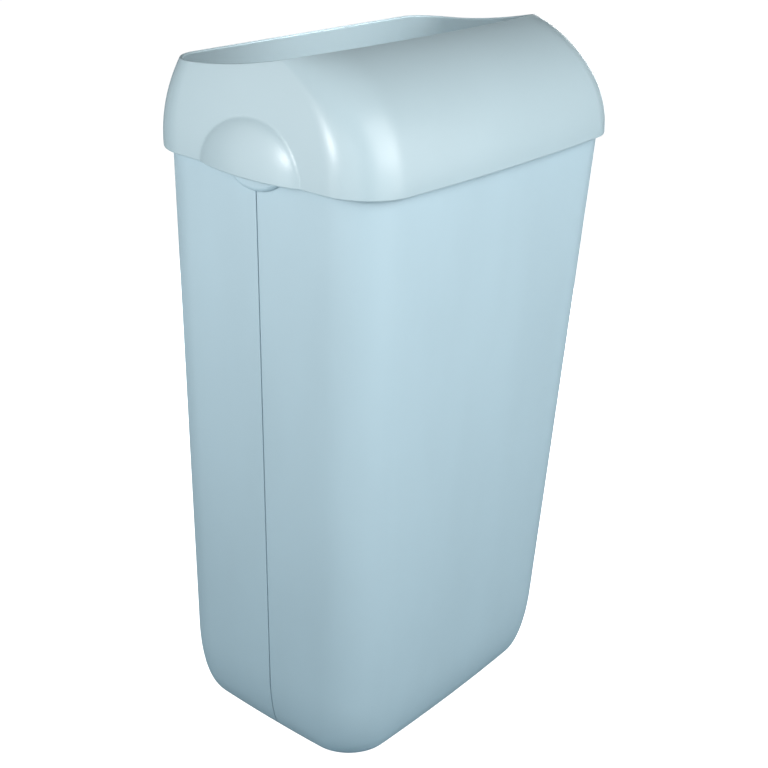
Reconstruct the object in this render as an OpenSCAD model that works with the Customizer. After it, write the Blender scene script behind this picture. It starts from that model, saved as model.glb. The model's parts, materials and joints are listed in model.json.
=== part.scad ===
// Open-topped litter bin: a body of two shells, a slip-on hood and a tilting bag ring.
// Frame: +Z is up, -Y is the front and +X is the right-hand side. The origin is on the
// floor, under the middle of the hood's outline. Every size is in millimetres.

/* [Body] */
// Width of the body at its mouth
mouth_width = 324; // [310:1:340]
// Width of the body at its base
base_width = 280; // [260:1:300]
// Depth of the body at its mouth
mouth_depth = 220; // [212:1:236]
// Depth of the body at its base
base_depth = 209; // [200:1:216]
// Height of the body from its underside to its mouth
body_height = 518; // [460:1:600]
// Wall thickness of both shells
wall = 3; // [2.6:0.1:3.4]
// Corner radius at the front of the body
front_corner = 38; // [32:1:44]
// Corner radius at the back of the body
back_corner = 40; // [32:1:44]
// Open line between the two shells
seam_gap = 0.8; // [0.4:0.1:1.2]

/* [Hood] */
// How far the hood's skirt reaches down over the body
skirt_overlap = 15.5; // [12:0.5:18]
// Height of the hood's front ridge above the bottom of its skirt
ridge_height = 88; // [84:1:90]
// Height of the hood's back wall above the bottom of its skirt
back_wall_height = 68; // [62:1:74]
// Wall thickness of the hood
hood_wall = 2.4; // [2:0.1:2.6]
// How far the side bulges stand out of the skirt
bulge_depth = 8; // [6:0.5:9]
// Width of a side bulge along the skirt
bulge_width = 98; // [90:1:110]
// Height of a side bulge above the bottom of the skirt
bulge_height = 41; // [36:1:46]

/* [Bag ring] */
// Width of the bag ring
ring_width = 280; // [268:1:282]
// Depth of the bag ring
ring_depth = 170; // [150:1:172]
// Radius of the steel pivot pins
pin_r = 4; // [3:0.5:4.5]

/* [Wall fixing] */
// Distance between the wall holes across the bin
wall_hole_x = 190; // [150:5:200]
// Distance between the wall holes up the bin
wall_hole_z = 300; // [200:10:320]
// Radius of the wall holes
wall_hole_r = 3.25; // [2.5:0.25:3.5]
// How far the wall spacers hold the back of the body off the wall
spacer_length = 7.5; // [7.5:0.5:10]

/* [Hidden] */
$fn = 48;
LEFT = -1;
RIGHT = 1;
FRONT = -1;
REAR = 1;

// Body: crowned faces, a base edge that rolls in, and a vertical seam plane
side_crown = 3;
front_crown = 3.6;
base_roll_in = 12;
base_roll_height = 60;
corner_shrink = 0.3;
foot_proud = 2;
base_z = foot_proud;
floor_z = base_z + wall;
mouth_z = base_z + body_height;
taper_angle = atan((mouth_width - base_width) / 2 / body_height);

// Hood: gaps to the body, corner radii at the bottom and at the ridge's height, the
// front's elliptical arch, the lean of its walls, how the top edge rises, how steep the
// side bulges' flanks are, and their parts behind and in front of the seam.
skirt_gap = 4.5;
back_gap = 5.7;
hood_front_crown = 6;
front_corners = [39, 36];
back_corners = [40, 24];
arch_height = 91.2;
side_lean = 16.3;
back_lean = 28;
edge_power = 1.8;
bulge_power = 0.75;
bulge_ends = [52, 46] / 98;
rim_z = mouth_z - skirt_overlap;
ridge_z = rim_z + ridge_height;
arch_end = asin(ridge_height / arch_height);

// The body's back plane is set so that the bin is centred on Y = 0
rim_depth = base_depth + (mouth_depth - base_depth) * (rim_z - base_z) / body_height;
hood_reach = rim_depth - front_crown + skirt_gap + hood_front_crown;
back_y = (hood_reach - spacer_length) / 2;
seam_y = back_y - 0.514 * rim_depth;
hood_front_y = back_y - rim_depth + front_crown - skirt_gap;
arch_centre_y = back_y - 119.5;

// Mesh steps of the shells and of the hood, counted over half an outline
roll_steps = 9;
shell_steps = [5, 8, 6];
hood_steps = [3, 7, 24, 8, 5];
hood_rows = 14;

// Seam clips over the mouth: a round pad outside, a bridge and two legs inside
pad_r = 39;
pad_proud = 4.4;
pad_edge = 4;
pad_half = 29;
pad_z = mouth_z + 12.5;
pad_back_half = 50;
bridge_thick = 2.2;
bridge_half = 25;
bridge_inset = 1;
leg_thick = 2.4;
leg_y = [12.5, 22];
leg_drop = 14;
seam_clip_gap = 0.3;

// Split housings of the ring's pivots, inside the wall at the seam
pivot_z = mouth_z - 11;
housing_r = 11;
housing_face = 147;
bush_r = 7;
bush_flange_r = 9;
bush_flange = 1.2;
bush_length = 11;
pin_play = 0.05;

// Flanges on the seam, the strips that grip them and the clips on the floor
flange_thick = 3;
flange_depth = 8;
flange_bottom = 80;
flange_top = mouth_z - 42;
strip_leg = 2.4;
channel_gap = 0.3;
floor_rib_height = 9;
floor_rib_half = 104;
base_clip_length = 32;
base_clip_spacing = 78;
screw_r = 1.75;
screw_head_r = 3.6;
screw_head = 2.2;
screw_z = flange_top - 23;

// Bag ring: a flat bar, its hubs, its lifting tab and the ledges that it rests on
bar_width = 6;
bar_height = 10;
ring_corner = 44;
hub_r = 7.5;
hub_face = housing_face - bush_flange - 0.6;
pin_inner = hub_face - 14;
tab_width = 60;
tab_reach = 14;
ledge_width = 6;
ledge_height = 22;
ledge_tip = 4;
ledge_x = 62;
ledge_gap = 0.3;

// Hood stops, feet and wall spacers
stop_width = 5;
stop_height = 9;
stop_depth = 14;
stop_gap = 0.3;
front_stop_x = 88;
back_stop_x = 92;
foot_r = 10;
foot_stem_r = 4;
foot_lip_r = 5.5;
foot_x = 96;
front_foot_y = -58;
rear_foot_y = 72;
spacer_r = 13;
spacer_stem_r = 7;
spacer_lip_r = 8.5;
spacer_lip = 2.5;
wall_hole_mid_z = 290;

body_colour = [0.66, 0.79, 0.85];
hood_colour = [0.69, 0.82, 0.88];
inner_plastic = [0.82, 0.85, 0.87];
steel = [0.72, 0.73, 0.75];
rubber = [0.16, 0.17, 0.18];

function mix(a, b, t) = a + (b - a) * t;
function unit(v) = v / norm(v);

// ---- body outline ----

// Half width, front and back planes of the body at height z, before the crowns
function body_share(z) = (z - base_z) / body_height;
function body_half(z) = mix(base_width, mouth_width, body_share(z)) / 2 - side_crown;
function body_front(z) = back_y - mix(base_depth, mouth_depth, body_share(z)) + front_crown;

// How far a point of the outline stands out through the crown of its face
function side_swell(y, y_mid, y_half) = side_crown * (1 - pow((y - y_mid) / y_half, 2));
function front_swell(x, half, crown) = crown * (1 - pow(x / half, 2));

// Points of half an outline, from the seam round one end's corner to the end's middle
function quarter(half, y_end, r, end) = concat(
    [for (i = [0:shell_steps[0] - 1])
        [half, mix(seam_y, y_end - end * r, i / shell_steps[0])]],
    [for (i = [0:shell_steps[1]]) let (a = 90 * i / shell_steps[1])
        [half - r + r * cos(a), y_end - end * r + end * r * sin(a)]],
    [for (i = [1:shell_steps[2]])
        [(half - r) * (1 - i / shell_steps[2]), y_end]]
);

// One shell's outline at height z, inset from the body's faces, from seam to seam
function shell_row(z, inset, thick, end) =
    let (
        half = body_half(z) - inset - thick,
        y_front = body_front(z) + inset + thick,
        y_back = back_y - inset - thick,
        y_mid = (y_front + y_back) / 2,
        y_half = (y_back - y_front) / 2,
        y_end = end == FRONT ? y_front : y_back,
        corner = end == FRONT ? front_corner : back_corner,
        crown = end == FRONT ? front_crown : 0,
        edge = quarter(half, y_end, corner - corner_shrink * inset - thick, end),
        swollen = [for (p = edge)
            [p[0] + side_swell(p[1], y_mid, y_half) * p[0] / half,
             max(p[1] * end, seam_y * end + seam_gap / 2) * end
                 + end * front_swell(p[0], half, crown) * max(0, end * (p[1] - y_mid)) / y_half,
             z]],
        other = [for (i = [len(swollen) - 2:-1:0]) [-swollen[i][0], swollen[i][1], z]],
        row = concat(swollen, other)
    )
    end == FRONT ? row : [for (i = [len(row) - 1:-1:0]) row[i]];

// Heights and insets of the rows, from the mouth down the wall and round the base's edge
function roll_angle(i) = 90 * (1 - i / roll_steps);
function shell_grid(thick, bottom, end) =
    let (roll = base_roll_height + base_z - bottom)
    concat(
        [shell_row(mouth_z, 0, thick, end)],
        [for (i = [0:roll_steps])
            shell_row(bottom + roll * (1 - cos(roll_angle(i))),
                base_roll_in * (1 - sin(roll_angle(i))), thick, end)]
    );

// ---- closed solids from an outer and an inner grid ----

function quad(a, b, c, d) = [[c, b, a], [d, c, a]];

// A wall between two grids that is open along the seam and closed by a floor
module shell_solid(outer, inner) {
    rows = len(outer);
    cols = len(outer[0]);
    n = rows * cols;
    outer_mid = 2 * n;
    inner_mid = 2 * n + 1;
    function o(i, j) = i * cols + j;
    function k(i, j) = n + i * cols + j;
    points = concat(
        [for (row = outer) for (p = row) p],
        [for (row = inner) for (p = row) p],
        [[0, outer[rows - 1][0][1], outer[rows - 1][0][2]],
         [0, inner[rows - 1][0][1], inner[rows - 1][0][2]]]
    );
    last = rows - 1;
    end = cols - 1;
    faces = concat(
        [for (i = [0:last - 1]) for (j = [0:end - 1])
            each quad(o(i, j), o(i, j + 1), o(i + 1, j + 1), o(i + 1, j))],
        [for (i = [0:last - 1]) for (j = [0:end - 1])
            each quad(k(i, j), k(i + 1, j), k(i + 1, j + 1), k(i, j + 1))],
        [for (j = [0:end - 1]) each quad(o(0, j), k(0, j), k(0, j + 1), o(0, j + 1))],
        [for (i = [0:last - 1]) each quad(o(i, 0), o(i + 1, 0), k(i + 1, 0), k(i, 0))],
        [for (i = [0:last - 1])
            each quad(o(i, end), k(i, end), k(i + 1, end), o(i + 1, end))],
        [for (j = [0:end - 1]) [outer_mid, o(last, j + 1), o(last, j)]],
        [for (j = [0:end - 1]) [inner_mid, k(last, j), k(last, j + 1)]],
        quad(o(last, 0), outer_mid, inner_mid, k(last, 0)),
        quad(outer_mid, o(last, end), k(last, end), inner_mid)
    );
    polyhedron(points = points, faces = faces);
}

// A wall between two grids whose rows are closed loops
module loop_solid(outer, inner) {
    rows = len(outer);
    cols = len(outer[0]);
    n = rows * cols;
    function o(i, j) = i * cols + j % cols;
    function k(i, j) = n + i * cols + j % cols;
    last = rows - 1;
    faces = concat(
        [for (i = [0:last - 1]) for (j = [0:cols - 1])
            each quad(o(i, j), o(i + 1, j), o(i + 1, j + 1), o(i, j + 1))],
        [for (i = [0:last - 1]) for (j = [0:cols - 1])
            each quad(k(i, j), k(i, j + 1), k(i + 1, j + 1), k(i + 1, j))],
        [for (j = [0:cols - 1]) each quad(o(last, j), k(last, j), k(last, j + 1), o(last, j + 1))],
        [for (j = [0:cols - 1]) each quad(o(0, j), o(0, j + 1), k(0, j + 1), k(0, j))]
    );
    polyhedron(points = concat([for (r = outer) each r], [for (r = inner) each r]), faces = faces);
}

// ---- body ----

// Everything on one side of the seam plane
module half_space(end) {
    reach = 400;
    translate([-reach, end == FRONT ? seam_y - reach : seam_y, 0])
        cube([2 * reach, reach, 2 * reach]);
}

// A cylinder along X from x = 0, standing on the given side
module cross_cylinder(r, length) {
    rotate([0, 90, 0])
        cylinder(r = r, h = length);
}

// Half of the housing inside the wall that holds a pivot bush
module housing_half(side, end) {
    wall_x = body_half(pivot_z) + side_crown - wall / 2;
    intersection() {
        mirror([side == LEFT ? 1 : 0, 0, 0])
            translate([housing_face, seam_y, pivot_z])
                cross_cylinder(housing_r, wall_x - housing_face);
        half_space(end);
    }
}

// The room that a pivot bush takes in both halves of its housing
module bush_room(side) {
    mirror([side == LEFT ? 1 : 0, 0, 0])
        translate([housing_face - 1, seam_y, pivot_z])
            cross_cylinder(bush_r, bush_length + 1);
}

// Places a child that is drawn on the right-hand wall's inner face at the seam,
// with +Z up the sloping wall and -X into the bin
module on_side_wall(side) {
    mirror([side == LEFT ? 1 : 0, 0, 0])
        translate([body_half(base_z) + side_crown - wall, seam_y, base_z])
            rotate([0, taper_angle, 0])
                children();
}

// Flange along one shell's side edge, and its half of the screw hole
module side_flange(side, end) {
    on_side_wall(side)
        translate([-flange_depth, end == FRONT ? -flange_thick : 0, flange_bottom])
            cube([flange_depth + wall / 2, flange_thick, flange_top - flange_bottom]);
}

module floor_rib(end) {
    translate([-floor_rib_half, end == FRONT ? seam_y - flange_thick : seam_y, floor_z - wall / 2])
        cube([2 * floor_rib_half, flange_thick, floor_rib_height + wall / 2]);
}

module screw_hole(side, r) {
    on_side_wall(side)
        translate([-flange_depth / 2, -15, screw_z])
            rotate([-90, 0, 0])
                cylinder(r = r, h = 30);
}

module foot_hole(x, y) {
    translate([x, y, 0])
        cylinder(r = foot_stem_r, h = floor_z + 1);
}

// One shell with what both shells have: housings, flanges and foot holes
module shell(end, foot_y) {
    difference() {
        union() {
            shell_solid(shell_grid(0, base_z, end), shell_grid(wall, floor_z, end));
            for (side = [LEFT, RIGHT]) {
                housing_half(side, end);
                side_flange(side, end);
            }
            floor_rib(end);
        }
        for (side = [LEFT, RIGHT]) {
            bush_room(side);
            screw_hole(side, screw_r);
            foot_hole(side * foot_x, foot_y);
        }
    }
}

// Bracket on the front wall that the ring's front bar rests on
module ring_ledge(x) {
    top = pivot_z - bar_height / 2 - ledge_gap;
    root = body_front(top) + wall / 2 - front_swell(x, body_half(top), front_crown);
    tip = seam_y - ring_depth / 2 + bar_width;
    translate([x - ledge_width / 2, 0, 0])
        rotate([90, 0, 90])
            linear_extrude(height = ledge_width)
                polygon([
                    [root, top],
                    [tip, top],
                    [tip, top - ledge_tip],
                    [root, top - ledge_height],
                ]);
}

module front_shell() {
    color(body_colour)
        union() {
            shell(FRONT, front_foot_y);
            for (side = [LEFT, RIGHT])
                ring_ledge(side * ledge_x);
        }
}

module rear_shell() {
    color(body_colour)
        difference() {
            shell(REAR, rear_foot_y);
            for (x = [LEFT, RIGHT])
                for (z = [-1, 1])
                    translate([x * wall_hole_x / 2, back_y + 1, wall_hole_mid_z + z * wall_hole_z / 2])
                        rotate([90, 0, 0])
                            cylinder(r = spacer_stem_r, h = wall + 3);
        }
}

// ---- hood ----

// Planes of the hood at height z: its half width, back and front before the crowns
function hood_share(z) = (z - rim_z) / ridge_height;
function hood_half(z) = body_half(rim_z) + skirt_gap - side_lean * pow(hood_share(z), 2);
function hood_back(z) = back_y + back_gap - back_lean * pow(hood_share(z), 2);
function hood_front(z) =
    arch_centre_y - (arch_centre_y - hood_front_y) * sqrt(1 - pow((z - rim_z) / arch_height, 2));

// Dome that swells out of each side, centred on the seam at the bottom of the skirt
function bulge(y, z) =
    let (
        reach = bulge_width * bulge_ends[y < seam_y ? 1 : 0],
        along = (y - seam_y) / reach,
        r2 = pow(along, 2) + pow((z - rim_z) / bulge_height, 2)
    )
    r2 >= 1 ? 0 : bulge_depth * pow(1 - r2, bulge_power);

// Number j of half an outline's points at height z, from the back's middle by the
// back corner, the side and the front corner to the front's middle
function hood_plan(j, z) =
    let (
        half = hood_half(z), back = hood_back(z), front = hood_front(z),
        rf = mix(front_corners[0], front_corners[1], hood_share(z)),
        rb = mix(back_corners[0], back_corners[1], hood_share(z)),
        a = hood_steps[0], b = a + hood_steps[1], c = b + hood_steps[2], d = c + hood_steps[3]
    )
    j <= a ? [(half - rb) * j / a, back]
    : j <= b ? let (t = 90 * (j - a) / (b - a)) [half - rb + rb * sin(t), back - rb + rb * cos(t)]
    : j <= c ? [half, mix(back - rb, front + rf, (j - b) / (c - b))]
    : j <= d ? let (t = 90 * (j - c) / (d - c)) [half - rf + rf * cos(t), front + rf - rf * sin(t)]
    : [(half - rf) * (1 - (j - d) / hood_steps[4]), front];

function hood_point(j, z) =
    let (
        p = hood_plan(j, z),
        half = hood_half(z), back = hood_back(z), front = hood_front(z),
        y_mid = (back + front) / 2,
        y_half = (back - front) / 2,
        lift = max(0, y_mid - p[1]) / y_half,
        out = side_swell(p[1], y_mid, y_half) * p[0] / half,
        on_side = pow(min(1, p[0] / half), 8)
    )
    [p[0] + out + bulge(p[1], z) * on_side,
     p[1] - front_swell(p[0], half, hood_front_crown) * lift,
     z];

// Height of the top edge: almost level on the back wall, rising along the sides to the ridge
function edge_height(y) =
    let (t = max(0, min(1, (hood_back(ridge_z) - y) / (hood_back(ridge_z) - hood_front(ridge_z)))))
    rim_z + mix(back_wall_height, ridge_height, pow(t, edge_power));
function top_height(j, z, n) =
    n == 0 ? z : top_height(j, (z + edge_height(hood_plan(j, z)[1])) / 2, n - 1);

function hood_column(j) =
    let (top = top_height(j, ridge_z, 24))
    [for (i = [0:hood_rows])
        hood_point(j, rim_z + (top - rim_z) * sin(arch_end * i / hood_rows) / sin(arch_end))];

// Outer grid of the hood: its rows are whole loops, clockwise seen from above
function hood_grid() =
    let (
        last = hood_steps[0] + hood_steps[1] + hood_steps[2] + hood_steps[3] + hood_steps[4],
        right = [for (j = [0:last]) hood_column(j)],
        left = [for (j = [last - 1:-1:1]) [for (p = right[j]) [-p[0], p[1], p[2]]]],
        columns = concat(right, left)
    )
    [for (i = [0:hood_rows]) [for (c = columns) c[i]]];

// The same grid moved inwards by the wall thickness along its normals
function inward(grid, thick) =
    let (rows = len(grid), cols = len(grid[0]))
    [for (i = [0:rows - 1]) [for (j = [0:cols - 1])
        let (
            across = grid[i][(j + 1) % cols] - grid[i][(j + cols - 1) % cols],
            up = grid[min(i + 1, rows - 1)][j] - grid[max(i - 1, 0)][j],
            normal = unit(cross(across, up))
        )
        i == 0 ? grid[i][j] + thick * unit([normal[0], normal[1], 0])
            : grid[i][j] + thick * normal]];

// Rib under the hood that rests on the body's mouth. It starts inside the wall at y.
module hood_stop(x, y, towards) {
    translate([x - stop_width / 2, towards > 0 ? y : y - stop_depth, mouth_z + stop_gap])
        cube([stop_width, stop_depth, stop_height]);
}

module lid() {
    grid = hood_grid();
    top = mouth_z + stop_gap + stop_height;
    swell = front_swell(front_stop_x, hood_half(top), hood_front_crown);
    front_y = hood_front(top) - swell + hood_wall / 4;
    back_y_in = hood_back(top) - hood_wall / 2;
    color(hood_colour)
        union() {
            loop_solid(grid, inward(grid, hood_wall));
            for (side = [LEFT, RIGHT]) {
                hood_stop(side * front_stop_x, front_y, 1);
                hood_stop(side * back_stop_x, back_y_in, -1);
            }
        }
}

// ---- bag ring and its pivots ----

// Rounded rectangle of the given half sizes
module rounded(half_x, half_y, r) {
    square([2 * half_x, 2 * (half_y - r)], center = true);
    square([2 * (half_x - r), 2 * half_y], center = true);
    for (x = [-1, 1])
        for (y = [-1, 1])
            translate([x * (half_x - r), y * (half_y - r)])
                circle(r = r, $fn = 64);
}

module bag_ring() {
    half_x = ring_width / 2;
    half_y = ring_depth / 2;
    color(inner_plastic)
        translate([0, seam_y, pivot_z])
            difference() {
                union() {
                    translate([0, 0, -bar_height / 2])
                        linear_extrude(height = bar_height)
                            difference() {
                                rounded(half_x, half_y, ring_corner);
                                rounded(half_x - bar_width, half_y - bar_width, ring_corner - bar_width);
                            }
                    translate([-tab_width / 2, bar_width / 2 - half_y, bar_height / 2 - 3])
                        cube([tab_width, tab_reach, 3]);
                    for (side = [LEFT, RIGHT])
                        mirror([side == LEFT ? 1 : 0, 0, 0])
                            translate([half_x - bar_width - 4, 0, 0])
                                cross_cylinder(hub_r, hub_face - half_x + bar_width + 4);
                }
                for (side = [LEFT, RIGHT])
                    mirror([side == LEFT ? 1 : 0, 0, 0])
                        translate([pin_inner, 0, 0])
                            cross_cylinder(pin_r, 30);
            }
}

module pivot_pin(side) {
    color(steel)
        mirror([side == LEFT ? 1 : 0, 0, 0])
            translate([pin_inner, seam_y, pivot_z])
                cross_cylinder(pin_r, housing_face + bush_length - 2 - pin_inner);
}

module pivot_bush(side) {
    color(inner_plastic)
        mirror([side == LEFT ? 1 : 0, 0, 0])
            translate([housing_face - bush_flange, seam_y, pivot_z])
                difference() {
                    union() {
                        cross_cylinder(bush_flange_r, bush_flange);
                        cross_cylinder(bush_r, bush_length + bush_flange);
                    }
                    translate([-1, 0, 0])
                        cross_cylinder(pin_r + pin_play, bush_length + bush_flange);
                }
}

// ---- what joins the shells ----

// Channel pushed over two flanges that touch: its inside is as wide as both
module channel(depth, length) {
    half = flange_thick + strip_leg;
    difference() {
        translate([-depth - strip_leg, -half, 0])
            cube([depth + strip_leg, 2 * half, length]);
        translate([-depth, -flange_thick, -1])
            cube([depth + 1, 2 * flange_thick, length + 2]);
    }
}

// Disc with a rounded front edge, along X from x = 0
module pad_disc(thick) {
    rotate([0, 90, 0])
        rotate_extrude()
            union() {
                square([pad_r - pad_edge, thick]);
                square([pad_r, thick - pad_edge]);
                translate([pad_r - pad_edge, thick - pad_edge])
                    circle(r = pad_edge);
            }
}

// The pad, cut off at its sides and top, under the hood, and shaped to the wall behind it
module seam_pad(side, face) {
    difference() {
        intersection() {
            mirror([side == LEFT ? 1 : 0, 0, 0])
                translate([face - 2 * pad_proud, seam_y, pad_z])
                    pad_disc(2 * pad_proud);
            translate([-mouth_width, seam_y - pad_half, 0])
                cube([2 * mouth_width, 2 * pad_half, mouth_z + seam_clip_gap + bridge_thick / 2]);
        }
        on_side_wall(side)
            translate([-pad_proud, -pad_back_half, 0])
                cube([pad_proud + wall + seam_clip_gap, 2 * pad_back_half, ridge_z]);
    }
}

// The bridge over the mouth and the two legs inside the wall
module seam_grip(side, face) {
    start = body_half(mouth_z) + side_crown - wall - seam_clip_gap - leg_thick;
    mirror([side == LEFT ? 1 : 0, 0, 0])
        translate([start, seam_y - bridge_half, mouth_z + seam_clip_gap])
            cube([face - bridge_inset - start, 2 * bridge_half, bridge_thick]);
    on_side_wall(side)
        for (y = [leg_y[0], -leg_y[1]])
            translate([-seam_clip_gap - leg_thick, y, body_height - leg_drop])
                cube([leg_thick, leg_y[1] - leg_y[0], leg_drop + bridge_thick]);
}

module seam_clip(side) {
    face = body_half(rim_z) + side_crown + pad_proud;
    color(body_colour)
        union() {
            seam_pad(side, face);
            seam_grip(side, face);
        }
}

module joining_strip(side) {
    color(inner_plastic)
        difference() {
            on_side_wall(side)
                translate([-channel_gap, 0, flange_bottom])
                    channel(flange_depth - channel_gap, flange_top - flange_bottom);
            screw_hole(side, screw_r);
        }
}

module strip_screws() {
    leg_face = -flange_thick - strip_leg;
    color(steel)
        for (side = [LEFT, RIGHT])
            on_side_wall(side)
                translate([-flange_depth / 2, leg_face - screw_head, screw_z])
                    rotate([-90, 0, 0])
                        union() {
                            cylinder(r = screw_head_r, h = screw_head);
                            cylinder(r = screw_r, h = screw_head + 2 * (flange_thick + strip_leg) + 2);
                        }
}

module base_clips() {
    color(steel)
        for (x = [-base_clip_spacing, 0, base_clip_spacing])
            translate([x + base_clip_length / 2, seam_y, floor_z + channel_gap])
                rotate([0, -90, 0])
                    mirror([1, 0, 0])
                        channel(floor_rib_height - channel_gap, base_clip_length);
}

// ---- feet and wall spacers ----

module foot(x, y) {
    color(rubber)
        translate([x, y, 0])
            rotate_extrude()
                union() {
                    square([foot_r - 1, foot_proud]);
                    translate([0, 0.6])
                        square([foot_r, foot_proud - 0.6]);
                    square([foot_stem_r, floor_z + 1]);
                    translate([0, floor_z])
                        square([foot_lip_r, 2.4]);
                }
}

module wall_spacer(side, up) {
    color(rubber)
        translate([side * wall_hole_x / 2, back_y + spacer_length, wall_hole_mid_z + up * wall_hole_z / 2])
            rotate([90, 0, 0])
                rotate_extrude()
                    difference() {
                        union() {
                            square([spacer_r, spacer_length]);
                            square([spacer_stem_r, spacer_length + wall + 1]);
                            translate([0, spacer_length + wall])
                                square([spacer_lip_r, spacer_lip]);
                        }
                        translate([0, -1])
                            square([wall_hole_r, spacer_length + wall + spacer_lip + 2]);
                    }
}

rear_shell();
front_shell();
lid();
bag_ring();
pivot_pin(LEFT);  // pivot_pin_left
pivot_pin(RIGHT);  // pivot_pin_right
pivot_bush(LEFT);  // pivot_bush_left
pivot_bush(RIGHT);  // pivot_bush_right
seam_clip(LEFT);  // seam_clip_left
seam_clip(RIGHT);  // seam_clip_right
joining_strip(LEFT);  // joining_strip_left
joining_strip(RIGHT);  // joining_strip_right
strip_screws();
base_clips();
foot(-foot_x, front_foot_y);  // foot_front_left
foot(foot_x, front_foot_y);  // foot_front_right
foot(-foot_x, rear_foot_y);  // foot_rear_left
foot(foot_x, rear_foot_y);  // foot_rear_right
wall_spacer(LEFT, 1);  // wall_spacer_upper_left
wall_spacer(RIGHT, 1);  // wall_spacer_upper_right
wall_spacer(LEFT, -1);  // wall_spacer_lower_left
wall_spacer(RIGHT, -1);  // wall_spacer_lower_right
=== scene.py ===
"""Looks for the waste bin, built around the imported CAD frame.

Blender works in metres and the shape functions below in millimetres, in the CAD model's own
frame: +Z is up, -Y the front and +X the right. Every moulding is built again as a fine mesh
from the same formulas as the design, with rounded edges, and stands for its CAD node.
"""
import json
import math

import bmesh
import bpy
import numpy as np
from mathutils import Matrix, Vector


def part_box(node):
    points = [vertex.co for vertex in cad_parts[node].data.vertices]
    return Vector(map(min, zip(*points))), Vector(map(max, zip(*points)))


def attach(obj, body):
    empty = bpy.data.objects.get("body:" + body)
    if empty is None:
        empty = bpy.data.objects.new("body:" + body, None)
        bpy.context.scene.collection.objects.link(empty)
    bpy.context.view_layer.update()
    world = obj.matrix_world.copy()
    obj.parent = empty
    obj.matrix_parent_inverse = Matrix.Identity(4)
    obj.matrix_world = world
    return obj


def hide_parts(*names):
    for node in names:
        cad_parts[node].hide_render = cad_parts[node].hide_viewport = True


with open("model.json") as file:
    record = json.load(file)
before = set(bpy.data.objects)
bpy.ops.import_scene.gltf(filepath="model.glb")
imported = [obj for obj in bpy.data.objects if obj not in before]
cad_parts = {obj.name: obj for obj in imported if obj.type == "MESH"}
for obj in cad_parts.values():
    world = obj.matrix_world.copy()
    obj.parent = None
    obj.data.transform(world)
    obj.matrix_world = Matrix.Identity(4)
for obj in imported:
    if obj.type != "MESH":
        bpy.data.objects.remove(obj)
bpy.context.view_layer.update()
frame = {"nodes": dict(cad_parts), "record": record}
MM = 0.001
LEFT, RIGHT = -1, 1
FRONT, REAR = -1, 1


def node_box(name):
    """Lowest and highest corner of a CAD node, in millimetres."""
    low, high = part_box(name)
    return np.array(low) / MM, np.array(high) / MM


# ---- sizes: places come from the frame, shapes from the design's own driving sizes ----

REAR_LOW, REAR_HIGH = node_box("rear_shell")
FRONT_LOW = node_box("front_shell")[0]
LID_LOW, LID_HIGH = node_box("lid")
PIN_LOW, PIN_HIGH = node_box("pivot_pin_right")
BUSH_LOW, BUSH_HIGH = node_box("pivot_bush_right")
RING_LOW, RING_HIGH = node_box("bag_ring")

BASE_Z, MOUTH_Z, BACK_Y = REAR_LOW[2], REAR_HIGH[2], REAR_HIGH[1]
MOUTH_HALF, BASE_HALF = REAR_HIGH[0], 140
MOUTH_DEPTH, BASE_DEPTH = BACK_Y - FRONT_LOW[1], 209
SEAM_Y, PIVOT_Z = (PIN_LOW[1:] + PIN_HIGH[1:]) / 2
PIN_R = (PIN_HIGH[2] - PIN_LOW[2]) / 2
BODY_HEIGHT = MOUTH_Z - BASE_Z

# Body
WALL = 3
FLOOR_Z = BASE_Z + WALL
SEAM_GAP = 0.8
SIDE_CROWN, FRONT_CROWN = 3, 3.6
FRONT_CORNER, BACK_CORNER = 38, 40
ROLL_IN, ROLL_HEIGHT, CORNER_SHRINK = 12, 60, 0.3
TAPER = math.atan((MOUTH_HALF - BASE_HALF) / BODY_HEIGHT)

# Hood
RIM_Z, RIDGE_Z = LID_LOW[2], LID_HIGH[2]
HOOD_WALL = 2.4
SKIRT_GAP = 4.5
HOOD_CROWN = 6
ARCH_HEIGHT = 91.2
ARCH_CENTRE_Y = BACK_Y - 119.5
HOOD_FRONT_Y, HOOD_BACK_Y = LID_LOW[1] + HOOD_CROWN, LID_HIGH[1]
SIDE_LEAN, BACK_LEAN = 16.3, 28
BACK_WALL_HEIGHT, EDGE_POWER = 68, 1.8
FRONT_CORNERS, BACK_CORNERS = (39, 36), (40, 24)
BULGE_DEPTH, BULGE_HEIGHT, BULGE_POWER = 8, 41, 0.75
BULGE_REACH = {REAR: 52, FRONT: 46}
LIP_R, RIM_R = 0.8, 1.1

# Stops that carry the hood on the mouth
STOP_X = {FRONT: 88, REAR: 92}
STOP_HALF, STOP_HEIGHT, STOP_DEPTH, STOP_GAP = 2.5, 9, 14, 0.3

# Bag ring, its pivots and the two ledges in front that it rests on
RING_BAR, RING_HEIGHT, RING_EDGE, RING_HALF, RING_CORNER = 6, 10, 1.6, 140, 44
TAB_HALF, TAB_LENGTH, TAB_THICK = 30, 15, 3
HUB_R, HUB_GAP, PIN_PLAY = 7.5, 0.6, 0.05
HOUSING_R, HOUSING_FACE, BUSH_R, BUSH_FLANGE, BUSH_BACK = 11, 147, 7, 1.2, 1
LEDGE_X, LEDGE_GAP, LEDGE_TIP, LEDGE_ROOT, LEDGE_OVERLAP = (59, 65), 0.3, 4, 22, 6

# Seam flanges, floor ribs, joining strips, screws and base clips
FLANGE_THICK, FLANGE_DEPTH, FLANGE_BOTTOM, FLANGE_TOP = 3, 8, 80, 478
FLOOR_RIB_HEIGHT, FLOOR_RIB_HALF = 9, 104
STRIP_LEG, CHANNEL_GAP, BASE_CLIP_LENGTH = 2.4, 0.3, 32
SCREW_R, SCREW_HEAD, SCREW_Z = 1.75, 2.2, 455

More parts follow.
